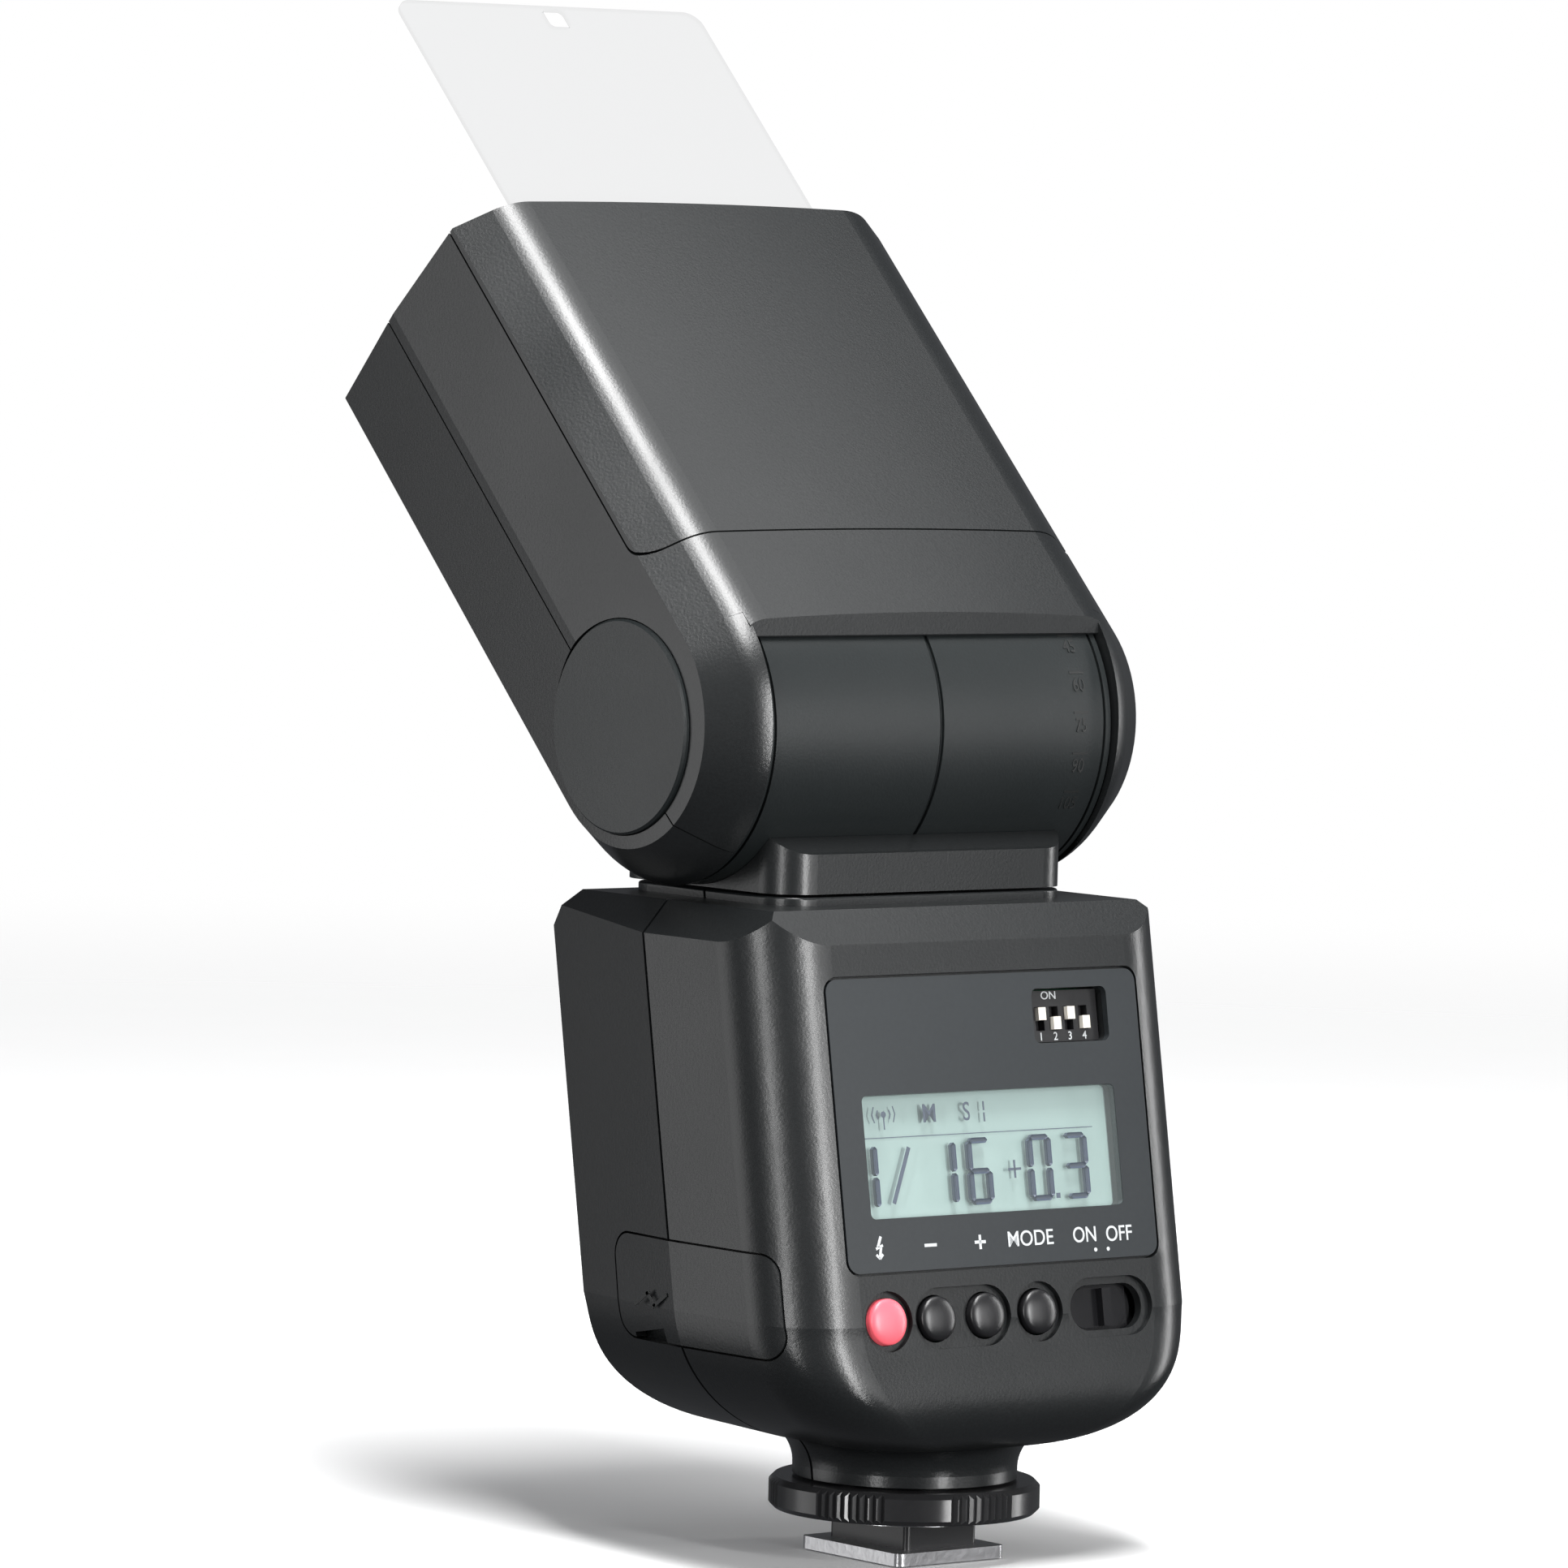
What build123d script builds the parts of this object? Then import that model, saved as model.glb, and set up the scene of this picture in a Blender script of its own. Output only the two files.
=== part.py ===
"""A shoe-mount electronic flash, modelled in millimetres.

The origin is the centre of the foot plate's underside. +X is the user's right, +Y points the way the
camera looks, +Z is up. The body leans forward over its foot, and the head rests at 45 degrees.
"""

from build123d import *
import os
from math import cos, radians, sin, sqrt, tan

os.makedirs("parts", exist_ok=True)

# ---------------------------------------------------------------- driving dimensions
FOOT_W, FOOT_L, FOOT_T = 18.6, 20.8, 1.7  # metal plate that slides into an accessory shoe
STEM_W, STEM_L = 12.4, 16.2  # block that passes between the shoe's rails
RING_Z, RING_H, RING_R = 6.0, 4.3, 18.2  # lock ring, screwed fully up
RING_GROUPS, RING_TEETH, RING_TURN = 6, 9, 12.0
THREAD_R, COLLAR_R, SPIGOT_R = 10.5, 15.1, 11.6

LEAN = 10.0  # degrees that the body leans forward
PANEL_Y, PANEL_Z = -16.5, 59.9  # centre of the control panel, on the rear face
BODY_HALF, BODY_DEEP, SEAM_DEEP = 36.0, 49.0, 26.2  # depths are level, from the rear face
REAR_R, FRONT_R, FRONT_TAPER = 10.7, 9.0, 2.5
FLOOR_Z, KNEE_Z, HEEL_Z, ROOF_Z, BEVEL_Z = 16.0, 34.0, 24.5, 87.6, 83.3
KNEE_DRAW, HEEL_DRAW = 22.0, 8.0  # how far the sides and ends draw in towards the floor
WALL, SEAM_GAP, PLAY = 2.2, 0.5, 0.3

PANEL_W, PANEL_H, PANEL_T = 53.4, 38.6, 1.0
LCD_W, LCD_H, LCD_X, LCD_V = 43.6, 16.2, -0.4, -4.2
DIP_W, DIP_H, DIP_X, DIP_V = 13.1, 7.3, 14.9, 13.4
DIP_PITCH, DIP_WAYS, DIP_THROW = 2.54, 4, 0.65
BUTTON_V, BUTTON_R, POCKET_DEEP = -25.75, 2.95, 0.9
TEST_X, MINUS_X, PLUS_X, MODE_X = -20.8, -12.3, -3.9, 5.1
SWITCH_X, SWITCH_SLOT_W, SWITCH_SLOT_H = 17.4, 12.4, 6.05
KNOB_X, KNOB_W, KNOB_H, RIB_X = 16.4, 9.8, 5.3, 17.1  # the knob moves 2 mm to the right

CELL_R, CELL_L, CELL_PITCH, CELL_X, CELL_F, CELL_V = 7.1, 49.0, 15.3, 4.0, 27.0, -15.2
HINGE_Y, HINGE_Z = 17.4, 110.4
HEAD_RISE = 45.0  # degrees the head points above level at rest
BARREL_R, BARREL_HALF = 21.1, 29.6
TABLE_HALF, TABLE_REAR, TABLE_FRONT, TABLE_Z, TABLE_TOP = 25.1, -2.3, 34.6, 89.1, 94.6
LAND_FRONT = 32.6  # front end of the raised land under the turntable
HEAD_TOP, HEAD_EDGE, HEAD_UNDER, HEAD_FRONT, HEAD_SEAM = 23.6, 23.0, -21.3, 74.6, -0.8
HEAD_MID = (HEAD_EDGE + HEAD_UNDER) / 2  # the round ends turn about this level
CAP_R, BOSS_R, RIM_CLEAR = 14.3, 9.0, 21.45
COVER_A, COVER_N, DECK_N, DECK_T = 13.7, 16.6, 14.6, 1.4
CARD_W, CARD_L, CARD_T, CARD_N, CARD_TIP = 53.2, 58.5, 0.6, 18.9, 117.4
WIDE_W, WIDE_L, WIDE_T, WIDE_N = 54.0, 42.0, 1.4, 17.3
SCREW_SPOTS = [(-27, 15), (27, 15), (-26.6, -27.5)]

SEAM_F = SEAM_DEEP * cos(radians(LEAN))
FRONT_F = BODY_DEEP * cos(radians(LEAN))

# ---------------------------------------------------------------- frames
lean = radians(LEAN)
RIGHT = Vector(1, 0, 0)
UP = Vector(0, sin(lean), cos(lean))
FORE = Vector(0, cos(lean), -sin(lean))
panel_at = Vector(0, PANEL_Y, PANEL_Z)
rear_plane = Plane(panel_at, x_dir=RIGHT, z_dir=FORE * -1)  # across, up; its normal leaves the rear face
flank_plane = Plane(panel_at, x_dir=FORE, z_dir=RIGHT)  # forward, up

rise = radians(HEAD_RISE)
ALONG = Vector(0, cos(rise), sin(rise))
OVER = Vector(0, -sin(rise), cos(rise))
hinge_at = Vector(0, HINGE_Y, HINGE_Z)
head_side = Plane(hinge_at, x_dir=ALONG, z_dir=RIGHT)  # along the head, towards its top
head_end = Plane(hinge_at, x_dir=RIGHT * -1, z_dir=ALONG)  # across mirrored, towards its top
head_top = Plane(hinge_at, x_dir=RIGHT, z_dir=OVER)  # across, along the head


def finish(piece, name):
    """Labels one piece and writes its STEP file."""
    piece.part.label = name
    export_step(piece.part, f"parts/{name}.step")
    print(name, len(piece.part.solids()), round(piece.part.volume, 1), piece.part.is_valid)


def level_for(z, fore):
    """Height along the lean of a point at level z, this far forward of the rear face."""
    return (z - PANEL_Z + fore * sin(lean)) / cos(lean)


# ---------------------------------------------------------------- body forms
def plan_outline(z, inset):
    """Level section of the body: round rear corners, sides that taper in ahead of the seam."""
    floor = FLOOR_Z + inset
    knee = min(max((KNEE_Z - z) / (KNEE_Z - floor), 0), 1)
    heel = min(max((HEEL_Z - z) / (HEEL_Z - floor), 0), 1)
    half = BODY_HALF - inset - KNEE_DRAW * (1 - sqrt(1 - knee * knee))
    draw = inset + HEEL_DRAW * (1 - sqrt(1 - heel * heel))
    start = PANEL_Y + (z - PANEL_Z) * tan(lean)
    with BuildSketch(Plane.XY.offset(z)) as plan:
        with BuildLine():
            Polyline(
                (-half, start + draw), (half, start + draw), (half, start + SEAM_DEEP),
                (half - FRONT_TAPER, start + BODY_DEEP - draw),
                (-half + FRONT_TAPER, start + BODY_DEEP - draw),
                (-half, start + SEAM_DEEP), close=True,
            )
        make_face()
        rows = plan.vertices().group_by(Axis.Y)
        fillet(rows[0], max(REAR_R - inset, 1.5))
        fillet(rows[-1], max(FRONT_R - inset, 1.5))
    return plan.sketch


def body_block(inset):
    """The body as one block, drawn in by `inset`: a leaning prism, a hipped roof and a round base."""
    half = BODY_HALF - inset
    roof = ROOF_Z - inset
    slant = 0.4 * inset
    with BuildPart() as block:
        add(plan_outline(KNEE_Z, inset))
        extrude(amount=70, dir=UP)
        with BuildSketch(Plane.XZ.offset(-80)):
            Polygon(
                (-half - 1, 0), (half + 1, 0), (half + 1, BEVEL_Z - 0.9 - slant), (half - 4.6 + slant, roof),
                (-half + 4.6 - slant, roof), (-half - 1, BEVEL_Z - 0.9 - slant), align=None,
            )
        extrude(amount=160, mode=Mode.INTERSECT)
        with BuildSketch(Plane.YZ.offset(-60)):
            Polygon(
                (-60, 0), (90, 0), (90, 5.3 - slant), (33.0 - slant, roof), (-7.9 + slant, roof),
                (-12.4 + slant, BEVEL_Z - slant), (-60, 37.7 - slant), align=None,
            )
        extrude(amount=120, mode=Mode.INTERSECT)
        for turn in (0, 20, 38, 52, 64, 74, 82, 90):
            add(plan_outline(KNEE_Z - (KNEE_Z - FLOOR_Z - inset) * sin(radians(turn)), inset))
        loft()
    return block.part


def skin_patch(depth, outline, side):
    """The outer layer of the body, this deep, inside a flank outline on one side."""
    with BuildPart() as patch:
        add(outline)
        extrude(amount=60, dir=(side, 0, 0))
        add(outer_block, mode=Mode.INTERSECT)
        add(body_block(depth), mode=Mode.SUBTRACT)
    return patch.part


def flank_outline(points, grow):
    """A round-cornered outline on the flank, from (forward, level z) corners."""
    with BuildSketch(flank_plane) as outline:
        Polygon(*[(fore, level_for(z, fore)) for fore, z in points], align=None)
        fillet(outline.vertices(), 3)
        if grow:
            offset(amount=grow)
    return outline.sketch


def seam_side(front):
    """Everything on one side of the shells' seam."""
    shift = SEAM_F + 60 + SEAM_GAP / 2 if front else SEAM_F - 60 - SEAM_GAP / 2
    with BuildPart() as space:
        with Locations(flank_plane):
            with Locations((shift, 0, 0)):
                Box(120, 240, 120)
    return space.part


def seam_slab(start, end, part):
    """The slice of a part between two distances forward of the rear face."""
    with BuildPart() as slab:
        with Locations(flank_plane):
            with Locations(((start + end) / 2, 0, 0)):
                Box(end - start, 240, 120)
        add(part, mode=Mode.INTERSECT)
    return slab.part


def wall_rod(spots, radius, start, end, mode=Mode.ADD):
    """Cylinders square to the rear face, between two depths behind it."""
    with Locations(rear_plane):
        with Locations([(x, v, -start) for x, v in spots]):
            Cylinder(radius, end - start, align=(Align.CENTER, Align.CENTER, Align.MAX), mode=mode)


def wall_box(x, v, width, height, start, end, mode=Mode.ADD):
    """A block square to the rear face, between two depths behind it."""
    with Locations(rear_plane):
        with Locations((x, v, -(start + end) / 2)):
            Box(width, height, end - start, mode=mode)


def cross_rod(along, over, radius, start, end, mode=Mode.ADD):
    """A cylinder along X in the head's frame, between two distances across."""
    with Locations(head_side):
        with Locations((along, over, (start + end) / 2)):
            Cylinder(radius, end - start, mode=mode)


def head_box(x, along, over, mode=Mode.ADD):
    """A block in the head's frame, from (low, high) pairs across, along and over."""
    with Locations(head_side):
        with Locations((sum(along) / 2, sum(over) / 2, sum(x) / 2)):
            Box(along[1] - along[0], over[1] - over[0], x[1] - x[0], mode=mode)


outer_block = body_block(0)
inner_block = body_block(WALL)

port_corners = [(5.1, 43.1), (39.2, 43.0), (39.6, 29.3), (5.1, 29.6)]
door_corners = [(11.0, 62.0), (43.4, 62.0), (43.4, 21.6), (11.0, 24.6)]
port_skin = skin_patch(1.5, flank_outline(port_corners, 0), -1)
port_recess = skin_patch(1.7, flank_outline(port_corners, PLAY), -1)
door_skin = skin_patch(1.5, flank_outline(door_corners, 0), 1)
door_recess = skin_patch(1.7, flank_outline(door_corners, PLAY), 1)

# ---------------------------------------------------------------- foot
with BuildPart() as shoe_plate:
    with BuildSketch(Plane.XY):
        RectangleRounded(FOOT_W, FOOT_L, 1.2)
        Circle(4.0, mode=Mode.SUBTRACT)
    extrude(amount=FOOT_T)
    with Locations((0, 7.2, 0), (0, -7.2, 0)):
        Hole(1.05)
finish(shoe_plate, "shoe_plate")

with BuildPart() as contact_insulator:
    with Locations((0, 0, 0)):
        Cylinder(3.95, FOOT_T, align=(Align.CENTER, Align.CENTER, Align.MIN))
    Hole(1.25)
finish(contact_insulator, "contact_insulator")

with BuildPart() as contact_pin:
    with Locations((0, 0, 0)):
        Cylinder(1.2, 4.4, align=(Align.CENTER, Align.CENTER, Align.MIN))
    fillet(contact_pin.edges().group_by(Axis.Z)[0], 0.2)
finish(contact_pin, "contact_pin")

with BuildPart() as foot_flange:
    with Locations((0, 0, 18.4)):
        Cylinder(22.5, 1.8, align=(Align.CENTER, Align.CENTER, Align.MIN))
    add(body_block(WALL + 0.1), mode=Mode.INTERSECT)

with BuildPart() as foot_stem:
    with BuildSketch(Plane.XY.offset(FOOT_T)):
        RectangleRounded(STEM_W, STEM_L, 0.8)
    extrude(amount=6)
    with Locations((0, 0, RING_Z)):
        Cylinder(THREAD_R, 5.0, align=(Align.CENTER, Align.CENTER, Align.MIN))
    with Locations((0, 0, 11.0)):
        Cylinder(SPIGOT_R, 7.4, align=(Align.CENTER, Align.CENTER, Align.MIN))
    add(foot_flange.part)
    with Locations((0, 0, 0)):
        Cylinder(1.25, 12, mode=Mode.SUBTRACT)
    with Locations((0, 7.2, 0), (0, -7.2, 0)):
        Cylinder(0.9, 16, mode=Mode.SUBTRACT)
    with GridLocations(35, 18, 2, 2):
        Cylinder(1.15, 60, mode=Mode.SUBTRACT)
finish(foot_stem, "foot_stem")

with BuildPart() as foot_screws:
    with Locations((0, 7.2, 0.05), (0, -7.2, 0.05)):
        Cylinder(0.85, 7.5, align=(Align.CENTER, Align.CENTER, Align.MIN))
    with GridLocations(35, 18, 2, 2):
        with Locations((0, 0, 16.9)):
            Cylinder(2.1, 1.0, align=(Align.CENTER, Align.CENTER, Align.MIN))
        with Locations((0, 0, 17.9)):
            Cylinder(1.1, 3.0, align=(Align.CENTER, Align.CENTER, Align.MIN))
finish(foot_screws, "foot_screws")

with BuildPart() as clamp_washer:
    with BuildSketch(Plane.XY.offset(RING_Z - 0.7)):
        Circle(13.0)
        RectangleRounded(STEM_W + 0.3, STEM_L + 0.3, 0.9, mode=Mode.SUBTRACT)
    extrude(amount=0.6)
finish(clamp_washer, "clamp_washer")

with BuildPart() as lock_ring:
    with Locations((0, 0, RING_Z)):
        Cylinder(RING_R, RING_H, align=(Align.CENTER, Align.CENTER, Align.MIN))
    chamfer(lock_ring.edges().filter_by(GeomType.CIRCLE), 0.7)
    with Locations((0, 0, RING_Z)):
        Cylinder(THREAD_R + 0.1, 20, mode=Mode.SUBTRACT)
    with BuildSketch(Plane.XY.offset(RING_Z - 1)):
        for group in range(RING_GROUPS):
            start = RING_TURN + group * 360 / RING_GROUPS
            for tooth in range(RING_TEETH):
                with PolarLocations(RING_R + 0.25, 1, start + 3.6 * tooth):
                    RegularPolygon(0.75, 4)
    extrude(amount=RING_H + 2, mode=Mode.SUBTRACT)
finish(lock_ring, "lock_ring")

# ---------------------------------------------------------------- body shells
with BuildPart() as collar:
    with BuildSketch(Plane.XZ):
        with BuildLine():
            Line((0, 10.7), (COLLAR_R, 10.7))
            Line((COLLAR_R, 10.7), (COLLAR_R, 12.2))
            RadiusArc((COLLAR_R, 12.2), (20.4, 17.6), 5.6)
            Line((20.4, 17.6), (0, 17.6))
            Line((0, 17.6), (0, 10.7))
        make_face()
    revolve(axis=Axis.Z)

with BuildPart() as roof_land:
    with BuildSketch(Plane.XY.offset(ROOF_Z - 0.6)):
        with Locations((0, (TABLE_REAR + LAND_FRONT) / 2)):
            RectangleRounded(2 * TABLE_HALF, LAND_FRONT - TABLE_REAR, 5.5)
    extrude(amount=TABLE_Z - 0.35 - ROOF_Z + 0.6)
    fillet(roof_land.edges().group_by(Axis.Z)[-1], 0.35)
    with Locations((0, HINGE_Y, ROOF_Z)):
        Cylinder(15.5, 6, align=(Align.CENTER, Align.CENTER, Align.MIN), mode=Mode.SUBTRACT)

with BuildPart() as casing:
    add(outer_block)
    add(roof_land.part)
    add(inner_block, mode=Mode.SUBTRACT)
    add(collar.part)
    with Locations((0, 0, 14)):
        Cylinder(SPIGOT_R + 0.08, 9, mode=Mode.SUBTRACT)
    with GridLocations(35, 18, 2, 2):
        with Locations((0, 0, 16)):
            Cylinder(1.3, 9, mode=Mode.SUBTRACT)
        with Locations((0, 0, 9.9)):
            Cylinder(2.3, 8.0, align=(Align.CENTER, Align.CENTER, Align.MIN), mode=Mode.SUBTRACT)
    with Locations((0, HINGE_Y, ROOF_Z)):
        Cylinder(12.08, 12, mode=Mode.SUBTRACT)
    add(port_recess, mode=Mode.SUBTRACT)
    add(door_recess, mode=Mode.SUBTRACT)

with BuildPart() as body_rear_shell:
    add(casing.part)
    add(seam_side(False), mode=Mode.INTERSECT)
    wall_rod(SCREW_SPOTS, 2.6, 1.5, SEAM_F - 2.8)
    wall_rod(SCREW_SPOTS, 1.05, 8, SEAM_F, Mode.SUBTRACT)
    with BuildSketch(rear_plane):
        RectangleRounded(PANEL_W + 0.7, PANEL_H + 0.7, 2.1)
    extrude(amount=-(PANEL_T + 0.15), mode=Mode.SUBTRACT)
    with BuildSketch(rear_plane):
        with Locations((TEST_X, BUTTON_V), (MODE_X, BUTTON_V)):
            Circle(4.0)
        with Locations(((MINUS_X + PLUS_X) / 2, BUTTON_V)):
            SlotOverall(16.4, 8.1)
        with Locations((SWITCH_X, BUTTON_V)):
            SlotOverall(14.85, 8.0)
    extrude(amount=-POCKET_DEEP, mode=Mode.SUBTRACT)
    with BuildSketch(rear_plane):
        with Locations((TEST_X, BUTTON_V), (MINUS_X, BUTTON_V), (PLUS_X, BUTTON_V), (MODE_X, BUTTON_V)):
            Circle(BUTTON_R + 0.2)
        with Locations((SWITCH_X, BUTTON_V)):
            SlotOverall(SWITCH_SLOT_W, SWITCH_SLOT_H)
        with Locations((LCD_X, LCD_V)):
            RectangleRounded(LCD_W, LCD_H, 0.8)
        with Locations((DIP_X, DIP_V)):
            RectangleRounded(DIP_W, DIP_H, 1.0)
    extrude(amount=-(WALL + 1), mode=Mode.SUBTRACT)
    with Locations(flank_plane):
        with Locations((14, -21.5, -35)):
            Cylinder(3.7, 8, mode=Mode.SUBTRACT)
        with Locations((33.5, -18, -35)):
            Box(9.3, 7.3, 8, mode=Mode.SUBTRACT)
        with Locations((CELL_F, CELL_V, 35)):
            Box(2 * CELL_PITCH - 0.6, 2 * CELL_PITCH - 0.6, 12, mode=Mode.SUBTRACT)
finish(body_rear_shell, "body_rear_shell")

with BuildPart() as seam_tongue:
    add(seam_slab(SEAM_F - 2.5, SEAM_F + 2, body_block(WALL + 0.1)))
    add(seam_slab(SEAM_F + SEAM_GAP / 2, SEAM_F + 2, body_block(WALL - 0.2)))
    add(body_block(WALL + 1.3), mode=Mode.SUBTRACT)
    with Locations((0, 0, 20)):
        Cylinder(20.5, 5, mode=Mode.SUBTRACT)
    with Locations((0, HINGE_Y, 82)):
        Cylinder(17, 12, mode=Mode.SUBTRACT)

with BuildPart() as front_bosses:
    wall_rod(SCREW_SPOTS, 3.2, SEAM_F + 0.3, FRONT_F)
    add(body_block(WALL - 0.4), mode=Mode.INTERSECT)

with BuildPart() as boss_ends:
    wall_rod(SCREW_SPOTS, 3.2, SEAM_F - 2.5, SEAM_F + 2)
    add(body_block(WALL + 0.1), mode=Mode.INTERSECT)

with BuildPart() as body_front_shell:
    add(casing.part)
    add(seam_side(True), mode=Mode.INTERSECT)
    add(seam_tongue.part)
    add(front_bosses.part)
    add(boss_ends.part)
    wall_rod(SCREW_SPOTS, 1.4, SEAM_F - 4, FRONT_F, Mode.SUBTRACT)
    wall_rod(SCREW_SPOTS, 2.5, SEAM_F - 0.3, FRONT_F + 5, Mode.SUBTRACT)
    wall_box(0, -14, 42.4, 22.4, FRONT_F - 6, FRONT_F + 2, Mode.SUBTRACT)
    with Locations((0, 0, 14)):
        Cylinder(SPIGOT_R + 0.08, 14, mode=Mode.SUBTRACT)
    with Locations((0, HINGE_Y, ROOF_Z)):
        Cylinder(12.08, 12, mode=Mode.SUBTRACT)
    with Locations(flank_plane):
        with Locations((33.5, -18, -35)):
            Box(9.3, 7.3, 8, mode=Mode.SUBTRACT)
        with Locations((CELL_F, CELL_V, 35)):
            Box(2 * CELL_PITCH - 0.6, 2 * CELL_PITCH - 0.6, 12, mode=Mode.SUBTRACT)
finish(body_front_shell, "body_front_shell")

with BuildPart() as body_screws:
    wall_rod(SCREW_SPOTS, 2.3, SEAM_F - 0.2, SEAM_F + 1.4)
    wall_rod(SCREW_SPOTS, 1.0, SEAM_F - 12, SEAM_F - 0.2)
finish(body_screws, "body_screws")

with BuildPart() as port_cover:
    add(port_skin)
    with Locations(flank_plane):
        with Locations((33.0, level_for(29.6, 33.0), -36)):
            Box(7.6, 2.0, 12, mode=Mode.SUBTRACT)
finish(port_cover, "port_cover")

with BuildPart() as battery_door:
    add(door_skin)
finish(battery_door, "battery_door")

# ---------------------------------------------------------------- controls and inside of the body
with BuildPart() as control_panel:
    with BuildSketch(rear_plane.offset(-0.1)):
        RectangleRounded(PANEL_W, PANEL_H, 1.8)
        with Locations((LCD_X, LCD_V)):
            RectangleRounded(LCD_W, LCD_H, 0.8, mode=Mode.SUBTRACT)
        with Locations((DIP_X, DIP_V)):
            RectangleRounded(DIP_W, DIP_H, 1.0, mode=Mode.SUBTRACT)
    extrude(amount=-PANEL_T)
finish(control_panel, "control_panel")

with BuildPart() as lcd_window:
    with BuildSketch(rear_plane.offset(-0.15)):
        with Locations((LCD_X, LCD_V)):
            RectangleRounded(LCD_W - 0.1, LCD_H - 0.1, 0.75)
    extrude(amount=-0.9)
finish(lcd_window, "lcd_window")

with BuildPart() as lcd_module:
    wall_box(LCD_X, LCD_V, 48.0, 21.0, 2.35, 6.0)
finish(lcd_module, "lcd_module")

dip_spots = [(DIP_X + DIP_PITCH * (way - 1.5), way) for way in range(DIP_WAYS)]
with BuildPart() as dip_switch:
    wall_box(DIP_X, DIP_V, 12.6, 6.9, 2.0, 6.0)
    for x, way in dip_spots:
        wall_box(x, DIP_V - 0.3, 1.5, 3.2, 1.5, 3.3, Mode.SUBTRACT)
finish(dip_switch, "dip_switch")

for x, way in dip_spots:
    with BuildPart() as dip_slider:
        wall_box(x, DIP_V - 0.3 + (DIP_THROW if way % 2 == 0 else -DIP_THROW), 1.28, 1.7, 1.35, 3.2)
    finish(dip_slider, f"dip_slider_{way + 1}")

for name, x, radius in (
    ("test_button", TEST_X, BUTTON_R), ("minus_button", MINUS_X, BUTTON_R),
    ("plus_button", PLUS_X, BUTTON_R), ("mode_button", MODE_X, BUTTON_R),
):
    with BuildPart() as button:
        wall_rod([(x, BUTTON_V)], radius, -0.75, 3.1)
        fillet(button.edges().filter_by(GeomType.CIRCLE).sort_by(Axis(panel_at, FORE))[0], 0.9)
        wall_rod([(x, BUTTON_V)], 3.4, 2.3, 3.1)
    finish(button, name)

with BuildPart() as power_switch:
    wall_box(RIB_X, BUTTON_V, 1.5, 5.0, 0.25, 1.6)
    with BuildSketch(rear_plane.offset(-1.5)):
        with Locations((KNOB_X, BUTTON_V)):
            SlotOverall(KNOB_W, KNOB_H)
    extrude(amount=-1.0)
    wall_box(KNOB_X, BUTTON_V, 11.4, 7.4, 2.35, 3.15)
finish(power_switch, "power_switch")

with BuildPart() as switch_base:
    wall_box(SWITCH_X, BUTTON_V, 15.4, 8.4, 3.4, 6.0)
finish(switch_base, "switch_base")

with BuildPart() as button_board:
    wall_box(-6.6, BUTTON_V, 31.6, 8.4, 4.2, 5.6)
finish(button_board, "button_board")

with BuildPart() as main_board:
    wall_box(0, 0.5, 45.0, 40.0, 6.3, 7.7)
finish(main_board, "main_board")

with BuildPart() as sensor_window:
    wall_box(0, -14, 42.0, 22.0, FRONT_F - 2.4, FRONT_F - 0.2)
    wall_box(0, -14, 45.0, 25.0, FRONT_F - 3.6, FRONT_F - 2.3)
finish(sensor_window, "sensor_window")

with BuildPart() as sync_jack:
    with Locations(flank_plane):
        with Locations((14, -21.5, -32.0)):
            Cylinder(3.6, 3.8)
        with Locations((14, -21.5, -33.0)):
            Cylinder(2.5, 3.8, mode=Mode.SUBTRACT)
        with Locations((14, -21.5, -32.0)):
            Cylinder(0.9, 3.2)
finish(sync_jack, "sync_jack")

with BuildPart() as power_jack:
    with Locations(flank_plane):
        with Locations((33.5, -18, -29.2)):
            Box(9.1, 7.1, 7.0)
        with Locations((33.5, -18, -31.0)):
            Box(7.4, 5.4, 4.0, mode=Mode.SUBTRACT)
        with Locations((33.5, -18, -30.4)):
            with GridLocations(2.4, 1, 3, 1):
                Cylinder(0.6, 3.4)
finish(power_jack, "power_jack")

with BuildPart() as battery_tray:
    with Locations(flank_plane):
        with Locations((CELL_F, CELL_V, CELL_X - 0.6)):
            Box(2 * CELL_PITCH + 1.7, 2 * CELL_PITCH + 1.7, CELL_L + 3)
        with Locations((CELL_F, CELL_V, CELL_X + 1)):
            Box(2 * CELL_PITCH - 0.7, 2 * CELL_PITCH - 0.7, CELL_L + 3.2, mode=Mode.SUBTRACT)
    add(body_block(WALL + 1.4), mode=Mode.INTERSECT)
finish(battery_tray, "battery_tray")

with BuildPart() as battery_cells:
    with Locations(flank_plane):
        with Locations((CELL_F, CELL_V, CELL_X)):
            with GridLocations(CELL_PITCH, CELL_PITCH, 2, 2):
                Cylinder(CELL_R, CELL_L - 1.2)
        with Locations((CELL_F, CELL_V, CELL_X + CELL_L / 2)):
            with GridLocations(CELL_PITCH, CELL_PITCH, 2, 2):
                Cylinder(2.7, 1.2)
finish(battery_cells, "battery_cells")

with BuildPart() as battery_contacts:
    with Locations(flank_plane):
        with Locations((CELL_F, CELL_V, CELL_X - CELL_L / 2 + 0.3)):
            with GridLocations(CELL_PITCH, CELL_PITCH, 2, 2):
                Cylinder(4.5, 0.5)
finish(battery_contacts, "battery_contacts")

with BuildPart() as main_capacitor:
    with Locations(flank_plane):
        with Locations((31, 11.4, 0)):
            Cylinder(10.2, 44)
    fillet(main_capacitor.edges().filter_by(GeomType.CIRCLE), 1.0)
finish(main_capacitor, "main_capacitor")

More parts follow.
